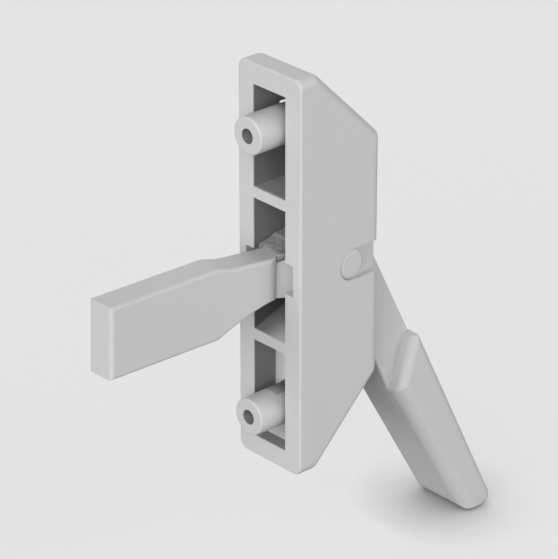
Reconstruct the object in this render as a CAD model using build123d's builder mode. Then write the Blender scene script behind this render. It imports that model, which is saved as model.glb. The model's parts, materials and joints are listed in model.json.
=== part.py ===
from build123d import *
import os
from math import cos, radians, sin, sqrt, tan

# Window locking handle: a cast housing, a bell-crank lever and the pin that the lever turns on.
# Millimetres. The mounting plane is Y = 0, with the window frame on its +Y side and the room on its
# -Y side. Z runs up along the housing and X across it. The origin is midway between the two screw
# posts. The lever is drawn half open.

# Housing, outside
housing_width = 17.8
housing_length = 84.6
housing_depth = 21.3
end_flat = 4.8  # depth of the flat end faces, from the mounting plane to the slopes
slope_angle = 45.0
profile_round = 2.5  # where the slopes meet the end faces and the front
side_round = 2.0  # along the whole outline of each side
rim_round = 0.5  # round the mounting face

# Housing, inside
wall = 4.35
rib_thickness = 2.3
rib_gap = 28.4  # clear height between the two ribs, at the mounting plane
rest_incline = 20.0  # the lower rib's upper face rises inwards by this angle
lower_bay_depth = 5.8  # from the mounting plane to the wall behind the lever's slot

# Screw posts
post_spacing = 60.325
post_diameter = 7.8
post_height = 5.6  # how far the posts stand proud of the mounting plane
post_round = 0.45
screw_hole_diameter = 3.1
screw_hole_depth = 12.0

# Pivot pin, its grooves inside and its recesses outside
pin_diameter = 6.6
pin_inset = 0.1  # each end lies this far inside the side wall's face
pin_round = 1.0
pivot_depth = 13.8
groove_depth = 2.2  # into each side wall, from the mounting plane to the pin
recess_at_pin = 0.7
recess_at_front = 1.95

# Lever, round the pin
bore_clearance = 0.05  # all round the pin
side_clearance = 0.3  # between the lever and each side of its slot
hub_radius = 8.0  # the neck's room side is level with it
slot_clearance = 0.75  # above the hub, at the top of the slot

# Lever, handle: measured along the handle from the pin, and out from there towards the room
handle_angle = 26.4  # how far the half open handle stands out from the housing
neck_back = 1.9  # where the neck's back leaves the hub
neck_round = 0.5
shoulder_clearance = 1.55  # from the housing's slope, with the handle closed
grip_width = 15.6
grip_reach = 80.5
grip_front_at_shoulder = 8.15
grip_front_at_tip = 7.85
grip_back_at_tip = 0.6
grip_back_at_shoulder = -2.15
grip_round = 1.4  # along each side's outline on the room side and round the tip
grip_back_round = 2.8  # along each side of the back
shoulder_side_round = 1.8  # down each side of the shoulder
shoulder_top_round = 1.1  # the next four are seen from the side
shoulder_base_round = 1.4
tip_front_round = 1.8
tip_back_round = 5.3

# Lever, arm: measured along the arm from the pin, and up from there
arm_tilt = 1.6
arm_reach = 56.4
arm_thickness = 6.4
arm_above = 5.75
arm_below = 9.45
arm_round = 0.8
taper_start = 29.2  # from here the arm narrows towards the pin
taper_end = 15.6
knee_at = 25.3  # the arm's top falls steeply to here, then gently
knee_above = 4.7
knee_round = 5.0
belly_sagitta = 0.5  # of the hollow curve below the taper
root_above = 3.7
root_below = 5.4
root_line = 13.9  # the arm's sides roll in to here, and the root's flare out from here to the hub
root_thickness = 4.2
root_roll = 3.0
root_flare = 35.0  # angle between each flaring side and the arm
ramp_start = 11.0  # the root's top rises from here to the hub's
ramp_end = 8.8
hub_above = 4.75

# Worked out from the sizes above
half_width = housing_width / 2
half_length = housing_length / 2
half_front = half_length - (housing_depth - end_flat) * tan(radians(slope_angle))
opening_width = housing_width - 2 * wall
post_radius = post_diameter / 2
pin_radius = pin_diameter / 2
neck_width = opening_width - 2 * side_clearance
slot_top = hub_radius + slot_clearance
slot_back = lower_bay_depth + wall
rib_inner = rib_gap / 2
rib_outer = rib_inner + rib_thickness
over = 2.0  # how far a cut runs on outside the solid

# The handle's own plane: x along the handle, y out towards the room
handle_lean = radians(handle_angle)
handle_plane = Plane(
    origin=(0, -pivot_depth, 0),
    x_dir=(0, -sin(handle_lean), -cos(handle_lean)),
    z_dir=(-1, 0, 0),
)
# The arm's own planes: x along the arm in both, y up in the first and across in the second
arm_lean = radians(arm_tilt)
arm_plane = Plane(
    origin=(0, -pivot_depth, 0),
    x_dir=(0, cos(arm_lean), sin(arm_lean)),
    z_dir=(1, 0, 0),
)
arm_plan = Plane(
    origin=(0, -pivot_depth, 0),
    x_dir=(0, cos(arm_lean), sin(arm_lean)),
    z_dir=(0, -sin(arm_lean), cos(arm_lean)),
)
post_plane = Plane(origin=(0, post_height, 0), x_dir=(1, 0, 0), z_dir=(0, 1, 0))


def slope_corners(inset):
    """Depth and height of the slope's two corners, with the outline moved inwards by inset."""
    near_end = end_flat - inset * tan(radians(slope_angle / 2))
    near_front = half_front - inset * tan(radians((90 - slope_angle) / 2))
    return (near_end, half_length - inset), (housing_depth - inset, near_front)


(inner_flat, inner_end), (inner_front, inner_half_front) = slope_corners(wall)
lower_bay_end = inner_end - (lower_bay_depth - inner_flat) * tan(radians(slope_angle))

# The space inside the housing, with the two posts left standing in it
with BuildPart() as hollow:
    with BuildSketch(Plane.YZ):
        # Upper bay
        with BuildLine():
            Polyline(
                (over, rib_outer),
                (over, inner_end),
                (-inner_flat, inner_end),
                (-inner_front, inner_half_front),
                (-inner_front, rib_outer),
                close=True,
            )
        make_face()
        # Middle bay, round the pin: its floor rises inwards to the wall behind the slot
        with BuildLine():
            Polyline(
                (over, -rib_inner - over * tan(radians(rest_incline))),
                (over, rib_inner),
                (-inner_front, rib_inner),
                (-inner_front, slot_back * tan(radians(rest_incline)) - rib_inner),
                (-slot_back, slot_back * tan(radians(rest_incline)) - rib_inner),
                close=True,
            )
        make_face()
        # Lower bay
        with BuildLine():
            Polyline(
                (over, -rib_outer),
                (-lower_bay_depth, -rib_outer),
                (-lower_bay_depth, -lower_bay_end),
                (-inner_flat, -inner_end),
                (over, -inner_end),
                close=True,
            )
        make_face()
    extrude(amount=opening_width / 2, both=True)
    with BuildSketch(post_plane):
        with GridLocations(0, post_spacing, 1, 2):
            Circle(post_radius)
    extrude(amount=-post_height - housing_depth, mode=Mode.SUBTRACT)
    # Slot for the lever in the front, out through the lower slope
    with BuildSketch(Plane.YZ):
        with BuildLine():
            Polyline(
                (-slot_back, slot_top),
                (-housing_depth - over, slot_top),
                (-housing_depth - over, -half_length),
                (-slot_back, -half_length),
                close=True,
            )
        make_face()
    extrude(amount=opening_width / 2, both=True)

# The posts, which run from their free ends into the hollow
with BuildPart() as posts:
    with BuildSketch(post_plane):
        with GridLocations(0, post_spacing, 1, 2):
            Circle(post_radius)
    extrude(amount=-post_height - lower_bay_depth)
    fillet(faces().sort_by(Axis.Y)[-2:].edges(), post_round)

with BuildPart() as housing:
    with BuildSketch(Plane.YZ):
        (flat_depth, flat_height), (front_depth, front_height) = slope_corners(0)
        with BuildLine():
            Polyline(
                (0, flat_height),
                (-flat_depth, flat_height),
                (-front_depth, front_height),
                (-front_depth, -front_height),
                (-flat_depth, -flat_height),
                (0, -flat_height),
                close=True,
            )
        make_face()
        fillet(vertices().filter_by_position(Axis.X, -front_depth, -flat_depth), profile_round)
    extrude(amount=half_width, both=True)
    side_edges = faces().filter_by(Axis.X).edges()
    fillet(side_edges.filter_by(lambda edge: edge.center().Y < -rim_round), side_round)
    fillet(faces().sort_by(Axis.Y)[-1].edges(), rim_round)
    add(hollow.part, mode=Mode.SUBTRACT)

    # The posts and their blind screw holes
    add(posts.part)
    with Locations(post_plane):
        with GridLocations(0, post_spacing, 1, 2):
            Hole(screw_hole_diameter / 2, screw_hole_depth)

    # Grooves inside the side walls, which let the pin's seat be cast with no side core
    with BuildSketch(Plane.YZ):
        with Locations((-pivot_depth / 2 + over / 2, 0)):
            Rectangle(pivot_depth + over, pin_diameter)
        with Locations((-pivot_depth, 0)):
            Circle(pin_radius)
    extrude(amount=opening_width / 2 + groove_depth, both=True, mode=Mode.SUBTRACT)

    # Recesses outside them, deeper towards the front, and the pin's holes
    recess_slope = (recess_at_front - recess_at_pin) / (housing_depth - pivot_depth)
    recess_end = recess_at_front + over * recess_slope
    with BuildSketch(Plane.XY):
        for side in (-1, 1):
            with BuildLine():
                Polyline(
                    (side * (half_width + over), -pivot_depth),
                    (side * (half_width - recess_at_pin), -pivot_depth),
                    (side * (half_width - recess_end), -housing_depth - over),
                    (side * (half_width + over), -housing_depth - over),
                    close=True,
                )
            make_face()
    extrude(amount=pin_radius, both=True, mode=Mode.SUBTRACT)
    with BuildSketch(Plane.YZ):
        with Locations((-pivot_depth, 0)):
            Circle(pin_radius)
    extrude(amount=half_width, both=True, mode=Mode.SUBTRACT)
housing.part.label = "housing"

with BuildPart() as pivot_pin:
    with BuildSketch(Plane.YZ):
        with Locations((-pivot_depth, 0)):
            Circle(pin_radius)
    extrude(amount=half_width - pin_inset, both=True)
    fillet(edges().filter_by(GeomType.CIRCLE), pin_round)
pivot_pin.part.label = "pivot_pin"

# The shoulder lies along the housing's slope, at its clearance, when the handle is closed:
# the distances along and out then add up to this
shoulder_sum = half_front + housing_depth - pivot_depth + shoulder_clearance * sqrt(2)
shoulder_front = shoulder_sum - grip_front_at_shoulder
shoulder_back = shoulder_sum - grip_back_at_shoulder


def cut_round_sides(start, end, width, radius, run_on):
    """Rounds both sides of one of the lever's faces, which runs from start to end as seen from the side."""
    face_start = handle_plane.from_local_coords((*start, 0))
    face_end = handle_plane.from_local_coords((*end, 0))
    towards_end = (face_end - face_start).normalized()
    across = Plane(origin=face_start - towards_end * run_on, x_dir=(1, 0, 0), z_dir=towards_end)
    with BuildSketch(across) as corners:
        for side in (-1, 1):
            with Locations((side * width / 2, 0)):
                Rectangle(2 * radius, 2 * radius)
            with Locations((side * (width / 2 - radius), radius)):
                Circle(radius, mode=Mode.SUBTRACT)
    extrude(corners.sketch, amount=(face_end - face_start).length + 2 * run_on, mode=Mode.SUBTRACT)


with BuildPart() as grip:
    with BuildSketch(handle_plane):
        with BuildLine():
            Polyline(
                (shoulder_front, grip_front_at_shoulder),
                (grip_reach, grip_front_at_tip),
                (grip_reach, grip_back_at_tip),
                (shoulder_back, grip_back_at_shoulder),
                close=True,
            )
        make_face()
        fillet(vertices().sort_by(Axis.Y)[0], shoulder_base_round)
        fillet(vertices().group_by(Axis.X)[-1].sort_by(Axis.Y)[-1], tip_front_round)
        fillet(vertices().group_by(Axis.X)[-1].sort_by(Axis.Y)[0], tip_back_round)
    extrude(amount=grip_width / 2, both=True)
    fillet(faces().filter_by(Axis.X).edges(), grip_round)
    # The back's two long edges and the shoulder's are rounder than the rest
    shoulder_top_corner = (shoulder_front, grip_front_at_shoulder)
    shoulder_base_corner = (shoulder_back, grip_back_at_shoulder)
    tip_corner = (grip_reach, grip_back_at_tip)
    cut_round_sides(shoulder_base_corner, tip_corner, grip_width, grip_back_round, 2 * over)
    cut_round_sides(shoulder_top_corner, shoulder_base_corner, grip_width, shoulder_side_round, 2 * over)
    # The shoulder's thin upper edge, where it meets the room side at the slope's angle
    round_reach = shoulder_top_round / tan(radians(slope_angle / 2))
    with BuildSketch(handle_plane):
        with BuildLine():
            Polyline(
                (shoulder_front, grip_front_at_shoulder + over),
                (shoulder_front, grip_front_at_shoulder),
                (
                    shoulder_front + round_reach * cos(radians(slope_angle)),
                    grip_front_at_shoulder - round_reach * sin(radians(slope_angle)),
                ),
                (shoulder_front + round_reach, grip_front_at_shoulder),
                (shoulder_front + round_reach, grip_front_at_shoulder + over),
                close=True,
            )
        make_face()
        with Locations((shoulder_front + round_reach, grip_front_at_shoulder - shoulder_top_round)):
            Circle(shoulder_top_round, mode=Mode.SUBTRACT)
    extrude(amount=grip_width, both=True, mode=Mode.SUBTRACT)

with BuildPart() as neck:
    with BuildSketch(handle_plane):
        neck_start = sqrt(hub_radius**2 - neck_back**2)
        with BuildLine():
            Polyline(
                (0, hub_radius),
                (shoulder_sum - hub_radius, hub_radius),
                (shoulder_back, hub_radius - shoulder_top_round),
                (shoulder_back, grip_back_at_shoulder),
                (neck_start, -neck_back),
            )
            ThreePointArc((neck_start, -neck_back), (-hub_radius, 0), (0, hub_radius))
        make_face()
    extrude(amount=neck_width / 2, both=True)
    cut_round_sides((shoulder_sum - hub_radius, hub_radius), (0, hub_radius), neck_width, neck_round, over)
    cut_round_sides((neck_start, -neck_back), shoulder_base_corner, neck_width, neck_round, 0)

flare_end = root_line - (neck_width - root_thickness) / 2 / tan(radians(root_flare))

with BuildPart() as arm:
    with BuildSketch(arm_plane):
        with BuildLine():
            Polyline(
                (taper_start, -arm_below),
                (arm_reach, -arm_below),
                (arm_reach, arm_above),
                (taper_start, arm_above),
                (knee_at, knee_above),
                (taper_end, root_above),
                (0, root_above),
                (0, -root_below),
                (taper_end, -root_below),
            )
            SagittaArc((taper_end, -root_below), (taper_start, -arm_below), belly_sagitta)
        make_face()
        top_corners = vertices().filter_by_position(Axis.X, knee_at, taper_start)
        fillet(top_corners.filter_by_position(Axis.Y, knee_above, arm_above), knee_round)
    extrude(amount=arm_thickness / 2, both=True)
    fillet(faces().filter_by(Axis.X).edges(), arm_round)
    # The root, as wide as the hub, with a top that rises to the hub's
    with BuildSketch(arm_plane):
        with BuildLine():
            Polyline(
                (0, hub_above),
                (ramp_end, hub_above),
                (ramp_start, root_above),
                (root_line, root_above),
                (root_line, -root_below),
                (0, -root_below),
                close=True,
            )
        make_face()
    extrude(amount=neck_width / 2, both=True)
    # Seen from above, each side of the arm rolls in to the root's line and then flares out to the hub
    with BuildSketch(arm_plan):
        for side in (-1, 1):
            with BuildLine():
                Polyline(
                    (root_line + root_roll, side * arm_thickness / 2),
                    (root_line + root_roll, side * (neck_width / 2 + over)),
                    (flare_end, side * (neck_width / 2 + over)),
                    (flare_end, side * neck_width / 2),
                    (root_line, side * root_thickness / 2),
                )
                TangentArc(
                    (root_line + root_roll, side * arm_thickness / 2),
                    (root_line, side * root_thickness / 2),
                    tangent=(-1, 0),
                )
            make_face()
    extrude(amount=arm_below + arm_above, both=True, mode=Mode.SUBTRACT)

with BuildPart() as lever:
    add(grip.part)
    add(neck.part)
    add(arm.part)
    with BuildSketch(Plane.YZ):
        with Locations((-pivot_depth, 0)):
            Circle(pin_radius + bore_clearance)
    extrude(amount=grip_width, both=True, mode=Mode.SUBTRACT)
lever.part.label = "lever"

os.makedirs("parts", exist_ok=True)
export_step(housing.part, "parts/housing.step")
export_step(pivot_pin.part, "parts/pivot_pin.step")
export_step(lever.part, "parts/lever.step")
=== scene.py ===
import json
import math

import bmesh
import bpy
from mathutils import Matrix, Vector
from mathutils.noise import turbulence


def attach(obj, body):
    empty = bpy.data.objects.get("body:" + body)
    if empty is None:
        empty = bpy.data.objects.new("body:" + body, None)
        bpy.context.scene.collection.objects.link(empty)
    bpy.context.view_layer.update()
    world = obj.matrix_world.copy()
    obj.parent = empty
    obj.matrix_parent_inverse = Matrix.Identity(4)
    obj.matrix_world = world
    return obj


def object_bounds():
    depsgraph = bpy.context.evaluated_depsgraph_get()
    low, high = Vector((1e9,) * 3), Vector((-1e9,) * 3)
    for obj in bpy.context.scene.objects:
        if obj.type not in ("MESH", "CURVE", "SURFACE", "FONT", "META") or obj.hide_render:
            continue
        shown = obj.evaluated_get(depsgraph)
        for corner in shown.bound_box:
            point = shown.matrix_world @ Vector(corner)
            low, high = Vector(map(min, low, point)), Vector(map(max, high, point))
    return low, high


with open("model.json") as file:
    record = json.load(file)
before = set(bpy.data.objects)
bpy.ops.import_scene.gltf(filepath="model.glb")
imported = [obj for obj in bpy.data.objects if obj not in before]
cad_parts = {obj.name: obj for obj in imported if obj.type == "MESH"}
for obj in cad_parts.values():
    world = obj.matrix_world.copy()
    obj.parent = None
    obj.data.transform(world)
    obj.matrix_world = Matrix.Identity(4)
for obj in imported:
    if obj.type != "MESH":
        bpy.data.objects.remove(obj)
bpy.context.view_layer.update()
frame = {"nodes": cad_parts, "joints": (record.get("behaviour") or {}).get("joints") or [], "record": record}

# Window locking handle, dressed in its light grey satin coat. Metres, in the frame's own axes:
# +Y towards the window frame, +Z up along the housing, X along the lever's pin.

# Shorthands for one millimetre and one degree
MM = 0.001
DEG = math.pi / 180

# Camera: it looks down at the housing's open back and its -X side
CAMERA_AZIMUTH = 227.59 * DEG
CAMERA_ELEVATION = 26.12 * DEG
CAMERA_DISTANCE = 661.1 * MM
CAMERA_ACROSS = 1.859 * MM  # from the origin to the point aimed at, in the picture's plane
CAMERA_UP = -1.653 * MM
CAMERA_LENS = 219.54
CAMERA_SENSOR = 36.0
CAMERA_NEAR = 10 * MM
CAMERA_FAR = 50.0

# Light: broad lamps round the object and a weak even surrounding, as in a light tent.
# Each lamp has the direction towards it and its light on a surface that faces it.
SKY_STRENGTH = 0.12
LAMP_SPREAD = 60 * DEG
LAMPS = {
    "left_lamp": ((-0.12, 0.92, 0.37), 0.69),
    "camera_lamp": ((-0.70, 0.66, 0.30), 0.40),
    "right_lamp": ((-0.87, -0.42, 0.24), 0.485),
    "far_lamp": ((0.72, -0.66, 0.20), 0.43),
}

# Stage: what the camera sees of the floor is mostly an even grey, with a painted contact shadow close to
# what stands on it
FLOOR_RADIUS = 4.0
FLOOR_CORNERS = 96
FLOOR_SEEN_GREY = 0.795
FLOOR_LIT_GREY = 0.95
FLOOR_LIT_SHARE = 0.15
FLOOR_BOUNCE_GREY = 0.32
CONTACT_REACH = 15 * MM

# Coat: an even grey with a faint cloudiness and the fine grain of a cast surface
COAT_GREY = 0.60
COAT_ROUGHNESS = 0.55
ROUGHNESS_SPREAD = 0.08
COAT_SPECULAR = 0.35
CLOUD_SIZE = 9 * MM
CLOUD_DETAIL = 3
CLOUD_SHARE = 0.035
GRAIN_SIZE = 0.7 * MM
GRAIN_DETAIL = 4
GRAIN_HEIGHT = 0.012 * MM
GRAIN_STRENGTH = 0.35

# Painted shade in the housing's hollow: the coat's grey is darkened where shade falls inside it. A share is
# what the coat keeps of its grey there, and an edge is the two places, mostly depths along Y, between which
# the grey falls to that share.
HOLLOW_HALF_WIDTH = 4.55 * MM
HOLLOW_MARGIN = 0.1 * MM
HOLLOW_FRONT = 19.0 * MM  # between the hollow's deepest face and the housing's front
HOLLOW_SLOPE = 44.0 * MM  # depth and height added up, between the sloping walls' inner and outer faces
RIM_EDGE = (-0.05 * MM, -0.4 * MM)
WALL_SHARE = 0.365
BELOW_ARM_SHARE = 0.52  # times the walls' share, between the middle and the lower rib
BELOW_ARM_HEIGHT = -15 * MM
END_SHARE = 0.60
RIB_REACH = 20.5 * MM  # no rib face lies further than this from the middle
UPPER_RIB_SHARE = 0.50
UPPER_RIB_EDGE = (-0.1 * MM, -0.8 * MM)
# The lower rib's painted shade deepens with depth and towards the far wall, along X
LOWER_RIB_SHARE = 0.36
LOWER_RIB_EDGE = (-0.8 * MM, -5.5 * MM)
LOWER_RIB_FAR_SIDE = (-3.5 * MM, 3.0 * MM)  # along X
POST_SHARE = 0.20
POST_EDGE = (-0.2 * MM, -4.2 * MM)
POST_REACH = 4.1 * MM  # from the post's axis, just past its surface
HOLE_SHARE = 0.45
HOLE_REACH = 1.62 * MM  # from the same axis, just past the hole's wall

# How far along an axis a surface's normal points, for what counts as facing that way
FACING = 0.5
FACING_SQUARELY = 0.9

# Rough cast surface left on top of the lever's root. Its points are millimetres from the pivot: along the
# arm, and then the height above the arm's line or the place across it.
SCAR_PROFILE = (
    (14.0, 3.4),
    (12.6, 3.85),
    (11.0, 4.08),
    (9.4, 4.58),
    (8.6, 4.98),
    (6.2, 5.17),
    (4.6, 6.67),
    (3.0, 7.53),
)
SCAR_FAR_SIDE = ((14.0, 2.6), (13.0, 4.0), (12.0, 4.2), (3.0, 4.2))
SCAR_NEAR_SIDE = ((14.0, -2.2), (12.0, -3.3), (10.9, -4.1), (3.0, -4.1))
SCAR_DEPTH = 1.2 * MM
SCAR_STEP = 0.14 * MM
SCAR_RIM_STEPS = 4  # from its rim to where it is fully uneven
SCAR_ROUGHNESS_SIZE = 2.0 * MM
SCAR_ROUGHNESS_HEIGHT = 0.2 * MM
SCAR_ROUGHNESS_DETAIL = 3
SCAR_GREY = 0.28
SCAR_CLOUD_SIZE = 1.5 * MM
SCAR_CLOUD_SHARE = 0.3
SCAR_GRAIN_HEIGHT = 0.024 * MM
ARM_TILT = 1.6 * DEG

# Sliver of flash in the upper corner of the hollow's rim, in millimetres
FLASH_PATH = ((-4.75, -0.3, 37.55), (-4.2, -0.15, 37.2), (-3.5, 0.0, 36.85), (-2.9, 0.05, 36.45))
FLASH_RADII = (0.26, 0.22, 0.30, 0.16)
FLASH_CORNERS = 8
FLASH_ROUNDING = 2
FLASH_GREY = 0.75


def view_direction():
    """Unit vector from the object towards the camera."""
    flat = math.cos(CAMERA_ELEVATION)
    return Vector((
        math.sin(CAMERA_AZIMUTH) * flat,
        -math.cos(CAMERA_AZIMUTH) * flat,
        math.sin(CAMERA_ELEVATION),
    ))


def make_camera():
    towards = view_direction()
    right = Vector((0, 0, 1)).cross(towards).normalized()
    up = towards.cross(right)
    data = bpy.data.cameras.new("camera")
    data.lens = CAMERA_LENS
    data.sensor_width = CAMERA_SENSOR
    data.clip_start = CAMERA_NEAR
    data.clip_end = CAMERA_FAR
    camera = bpy.data.objects.new("camera", data)
    aim = right * CAMERA_ACROSS + up * CAMERA_UP
    camera.location = aim + towards * CAMERA_DISTANCE
    camera.rotation_euler = towards.to_track_quat("Z", "Y").to_euler()
    bpy.context.scene.collection.objects.link(camera)
    bpy.context.scene.camera = camera


def grey_colour(level):
    return (level, level, level, 1)


def make_lights():
    for name, (towards, level) in LAMPS.items():
        data = bpy.data.lights.new(name, "SUN")
        data.energy = level * math.pi
        data.angle = LAMP_SPREAD
        lamp = bpy.data.objects.new(name, data)
        lamp.rotation_euler = Vector(towards).to_track_quat("Z", "Y").to_euler()
        bpy.context.scene.collection.objects.link(lamp)
    world = bpy.data.worlds.new("surrounding")
    world.use_nodes = True
    background = world.node_tree.nodes["Background"]
    background.inputs["Color"].default_value = grey_colour(1)
    background.inputs["Strength"].default_value = SKY_STRENGTH
    bpy.context.scene.world = world


class NodeMaterial:
    """A new material, with short calls that add nodes to it and give back their outputs."""

    def __init__(self, name):
        self.material = bpy.data.materials.new(name)
        self.material.use_nodes = True
        self.tree = self.material.node_tree
        self.tree.nodes.clear()

    def add(self, kind):
        return self.tree.nodes.new("ShaderNode" + kind)

    def link(self, output, socket):
        self.tree.links.new(output, socket)

    def feed(self, value, socket):
        """Links a socket to another one, or sets it to a number."""
        if isinstance(value, bpy.types.NodeSocket):
            self.link(value, socket)
        else:
            socket.default_value = value

    def finish(self, surface):
        output = self.add("OutputMaterial")
        self.link(surface, output.inputs["Surface"])
        return self.material

    def calculate(self, operation, *values):
        node = self.add("Math")
        node.operation = operation
        for value, socket in zip(values, node.inputs):
            self.feed(value, socket)
        return node.outputs[0]

    def product(self, first, *others):
        for other in others:
            first = self.calculate("MULTIPLY", first, other)
        return first

    def ramp(self, value, edge):
        """0 at the edge's first place and 1 at its second, with a smooth step between them."""
        start, end = edge
        node = self.add("MapRange")
        node.interpolation_type = "SMOOTHSTEP"
        self.link(value, node.inputs["Value"])
        node.inputs["From Min"].default_value = start
        node.inputs["From Max"].default_value = end
        return node.outputs[0]

    def axes(self, vector):
        node = self.add("SeparateXYZ")
        self.link(vector, node.inputs[0])
        return node.outputs

    def noise(self, position, size, detail):
        node = self.add("TexNoise")
        node.inputs["Scale"].default_value = 1 / size
        node.inputs["Detail"].default_value = detail
        self.link(position, node.inputs["Vector"])
        return node.outputs["Fac"]

    def diffuse(self, grey):
        node = self.add("BsdfDiffuse")
        node.inputs["Color"].default_value = grey_colour(grey)
        return node.outputs[0]

    def mix(self, factor, first, second):
        node = self.add("MixShader")
        self.feed(factor, node.inputs["Fac"])
        self.link(first, node.inputs[1])
        self.link(second, node.inputs[2])
        return node.outputs[0]


def floor_material():
    nodes = NodeMaterial("floor")
    # Painted contact shadow: ambient occlusion darkens the floor's even grey near what stands on it
    contact = nodes.add("AmbientOcclusion")
    contact.inputs["Distance"].default_value = CONTACT_REACH
    even = nodes.add("Emission")
    even.inputs["Color"].default_value = grey_colour(FLOOR_SEEN_GREY)
    nodes.link(contact.outputs["AO"], even.inputs["Strength"])
    lit = nodes.diffuse(FLOOR_LIT_GREY)
    unseen = nodes.diffuse(FLOOR_BOUNCE_GREY)
    seen = nodes.mix(FLOOR_LIT_SHARE, even.outputs[0], lit)
    path = nodes.add("LightPath")
    return nodes.finish(nodes.mix(path.outputs["Is Camera Ray"], unseen, seen))


def make_floor():
    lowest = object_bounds()[0][2]
    bpy.ops.mesh.primitive_circle_add(
        vertices=FLOOR_CORNERS,
        radius=FLOOR_RADIUS,
        fill_type="NGON",
        location=(0, 0, lowest),
    )
    floor = bpy.context.object
    floor.name = "floor"
    floor.data.materials.append(floor_material())


def distance_from_post(nodes, across, from_middle):
    """How far a place lies from the nearer post's axis."""
    post_height = frame["record"]["mounts"][0]["dims"]["spacing_y_mm"] / 2 * MM
    above = nodes.calculate("SUBTRACT", from_middle, post_height)
    above_squared = nodes.calculate("MULTIPLY", above, above)
    return nodes.calculate("SQRT", nodes.calculate("MULTIPLY_ADD", across, across, above_squared))


def painted_hollow_shade(nodes, position):
    """What share of its grey the housing's coat keeps: less in the hollow, where shade is painted into it.
    """
    across, depth, height = nodes.axes(position)
    faces_across, faces_out, faces_up = nodes.axes(nodes.add("NewGeometry").outputs["Normal"])

    def above(value, limit):
        return nodes.calculate("GREATER_THAN", value, limit)

    def below(value, limit):
        return nodes.calculate("LESS_THAN", value, limit)

    aside = nodes.calculate("ABSOLUTE", across)
    from_middle = nodes.calculate("ABSOLUTE", height)
    from_post = distance_from_post(nodes, across, from_middle)
    slope_place = nodes.calculate("SUBTRACT", from_middle, depth)
    past_rim = nodes.ramp(depth, RIM_EDGE)
    in_upper_half = above(height, 0)
    in_lower_half = below(height, 0)
    inside = nodes.product(
        below(aside, HOLLOW_HALF_WIDTH + HOLLOW_MARGIN),
        above(depth, -HOLLOW_FRONT),
        below(slope_place, HOLLOW_SLOPE),
    )

    on_wall_plane = nodes.calculate("COMPARE", aside, HOLLOW_HALF_WIDTH, HOLLOW_MARGIN)
    faces_aside = above(nodes.calculate("ABSOLUTE", faces_across), FACING_SQUARELY)
    walls = nodes.product(on_wall_plane, faces_aside, past_rim)
    below_arm = nodes.product(walls, in_lower_half, above(height, BELOW_ARM_HEIGHT))

    ribs = nodes.product(inside, above(faces_up, FACING), below(from_middle, RIB_REACH))
    upper_rib = nodes.product(ribs, in_upper_half, nodes.ramp(depth, UPPER_RIB_EDGE))
    deep = nodes.ramp(depth, LOWER_RIB_EDGE)
    on_far_side = nodes.ramp(across, LOWER_RIB_FAR_SIDE)
    deep_or_far = nodes.calculate("MAXIMUM", deep, on_far_side)
    lower_rib = nodes.product(ribs, in_lower_half, deep_or_far, past_rim)
    lower_end = nodes.product(inside, above(faces_up, FACING_SQUARELY), below(height, -RIB_REACH), past_rim)

    posts = nodes.product(inside, below(from_post, POST_REACH), nodes.ramp(depth, POST_EDGE))
    holes = nodes.product(inside, below(from_post, HOLE_REACH), below(faces_out, FACING))

    # Each mask darkens the grey by its share, as painted shade
    kept = 1
    for mask, share in (
        (walls, WALL_SHARE),
        (below_arm, BELOW_ARM_SHARE),
        (upper_rib, UPPER_RIB_SHARE),
        (lower_rib, LOWER_RIB_SHARE),
        (lower_end, END_SHARE),
        (posts, POST_SHARE),
        (holes, HOLE_SHARE),
    ):
        kept_here = nodes.calculate("MULTIPLY_ADD", mask, share - 1, 1)
        kept = nodes.calculate("MULTIPLY", kept, kept_here)
    return kept


def coat_material(
    name,
    grey=COAT_GREY,
    cloud_size=CLOUD_SIZE,
    cloud_share=CLOUD_SHARE,
    grain_height=GRAIN_HEIGHT,
    hollow=False,
):
    """Light grey satin coat on a casting."""
    nodes = NodeMaterial(name)
    position = nodes.add("TexCoord").outputs["Object"]
    shader = nodes.add("BsdfPrincipled")

    clouds = nodes.noise(position, cloud_size, CLOUD_DETAIL)
    lightest = grey * (1 + cloud_share / 2)
    tone = nodes.calculate("MULTIPLY_ADD", clouds, -grey * cloud_share, lightest)
    # Painted shade in the housing's hollow
    if hollow:
        tone = nodes.calculate("MULTIPLY", tone, painted_hollow_shade(nodes, position))
    colour = nodes.add("CombineColor")
    for socket in colour.inputs[:3]:
        nodes.link(tone, socket)
    nodes.link(colour.outputs[0], shader.inputs["Base Color"])

    grain = nodes.noise(position, GRAIN_SIZE, GRAIN_DETAIL)
    smoothest = COAT_ROUGHNESS - ROUGHNESS_SPREAD / 2
    roughness = nodes.calculate("MULTIPLY_ADD", grain, ROUGHNESS_SPREAD, smoothest)
    nodes.link(roughness, shader.inputs["Roughness"])
    shader.inputs["Specular IOR Level"].default_value = COAT_SPECULAR
    bump = nodes.add("Bump")
    bump.inputs["Strength"].default_value = GRAIN_STRENGTH
    bump.inputs["Distance"].default_value = grain_height
    nodes.link(grain, bump.inputs["Height"])
    nodes.link(bump.outputs[0], shader.inputs["Normal"])
    return nodes.finish(shader.outputs[0])


def dress_nodes():
    for name, node in frame["nodes"].items():
        node.data.materials.clear()
        # The housing's coat gets painted shade in its hollow
        node.data.materials.append(coat_material("coat_" + name, hollow=name == "housing"))


def between(points, at):
    """The value at a place on a line through (place, value) points, whose places fall."""
    for (place, value), (next_place, next_value) in zip(points, points[1:]):
        if at >= next_place:
            share = (place - at) / (place - next_place)
            return value + (next_value - value) * share
    return points[-1][1]


def join_rows(cells, row, next_row):
    """Faces between two rows that have the same number of points."""
    corners = zip(row, row[1:], next_row[1:], next_row)
    for face in corners:
        cells.faces.new(face)


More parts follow.
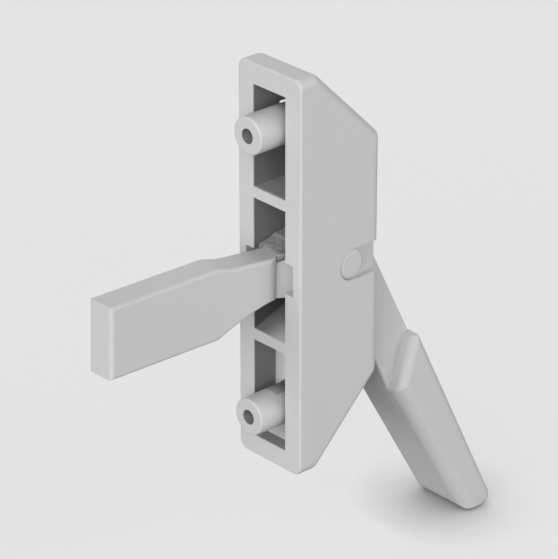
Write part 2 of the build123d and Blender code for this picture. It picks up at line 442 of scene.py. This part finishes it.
def add_piece(name, fill, body, material):
    """A new piece, made by a function that fills a bmesh, that rides on a body."""
    mesh = bpy.data.meshes.new(name)
    cells = bmesh.new()
    fill(cells)
    bmesh.ops.recalc_face_normals(cells, faces=cells.faces)
    cells.to_mesh(mesh)
    cells.free()
    mesh.polygons.foreach_set("use_smooth", [True] * len(mesh.polygons))
    piece = bpy.data.objects.new(name, mesh)
    bpy.context.scene.collection.objects.link(piece)
    piece.data.materials.append(material)
    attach(piece, body)
    return piece


def fill_scar(cells):
    """A rough closed patch: a grid with an uneven top and a plain bottom, which lies inside the lever."""
    pivot = Vector(frame["joints"][0]["pos_m"])
    first = SCAR_PROFILE[0][0] * MM
    last = SCAR_PROFILE[-1][0] * MM
    rows = round((first - last) / SCAR_STEP)
    columns = round(2 * HOLLOW_HALF_WIDTH / SCAR_STEP)
    tops = []
    bottoms = []
    for row in range(rows + 1):
        along = first + (last - first) * row / rows
        height = between(SCAR_PROFILE, along / MM) * MM + along * math.tan(ARM_TILT)
        near = between(SCAR_NEAR_SIDE, along / MM) * MM
        far = between(SCAR_FAR_SIDE, along / MM) * MM
        tops.append([])
        bottoms.append([])
        for column in range(columns + 1):
            across = near + (far - near) * column / columns
            noise_place = Vector((across, along, 0)) / SCAR_ROUGHNESS_SIZE
            uneven = turbulence(noise_place, SCAR_ROUGHNESS_DETAIL, False)
            steps_in = min(row, rows - row, column, columns - column) + 1
            lift = SCAR_ROUGHNESS_HEIGHT * uneven * min(1, steps_in / SCAR_RIM_STEPS)
            bottom = pivot + Vector((across, along, height - SCAR_DEPTH))
            tops[-1].append(cells.verts.new(pivot + Vector((across, along, height + lift))))
            bottoms[-1].append(cells.verts.new(bottom))
    for grid in (tops, bottoms):
        for row, next_row in zip(grid, grid[1:]):
            join_rows(cells, row, next_row)
    for end in (0, -1):
        join_rows(cells, tops[end], bottoms[end])
        join_rows(cells, [row[end] for row in tops], [row[end] for row in bottoms])


def fill_flash(cells):
    """A short bent sliver: rings along a path, closed at both ends."""
    points = [Vector(point) * MM for point in FLASH_PATH]
    before = points[:1] + points[:-1]
    after = points[1:] + points[-1:]
    rings = []
    for point, start, end, radius in zip(points, before, after, FLASH_RADII):
        along = (end - start).normalized()
        side = along.cross(Vector((0, 1, 0))).normalized()
        out = along.cross(side)
        ring = []
        for corner in range(FLASH_CORNERS):
            turn = 2 * math.pi * corner / FLASH_CORNERS
            offset = side * math.cos(turn) + out * math.sin(turn)
            ring.append(cells.verts.new(point + offset * radius * MM))
        rings.append(ring)
    for ring, next_ring in zip(rings, rings[1:]):
        join_rows(cells, ring + ring[:1], next_ring + next_ring[:1])
    cells.faces.new(rings[0])
    cells.faces.new(rings[-1])


def make_scar():
    material = coat_material(
        "rough_casting",
        grey=SCAR_GREY,
        cloud_size=SCAR_CLOUD_SIZE,
        cloud_share=SCAR_CLOUD_SHARE,
        grain_height=SCAR_GRAIN_HEIGHT,
    )
    add_piece("gate_scar", fill_scar, "lever", material)


def make_flash():
    material = coat_material("flash_metal", grey=FLASH_GREY)
    flash = add_piece("rim_flash", fill_flash, "housing", material)
    rounding = flash.modifiers.new("rounding", "SUBSURF")
    rounding.levels = FLASH_ROUNDING
    rounding.render_levels = FLASH_ROUNDING


make_camera()
make_lights()
make_floor()
dress_nodes()
make_scar()
make_flash()

scene = bpy.context.scene
scene.view_settings.view_transform = "Standard"
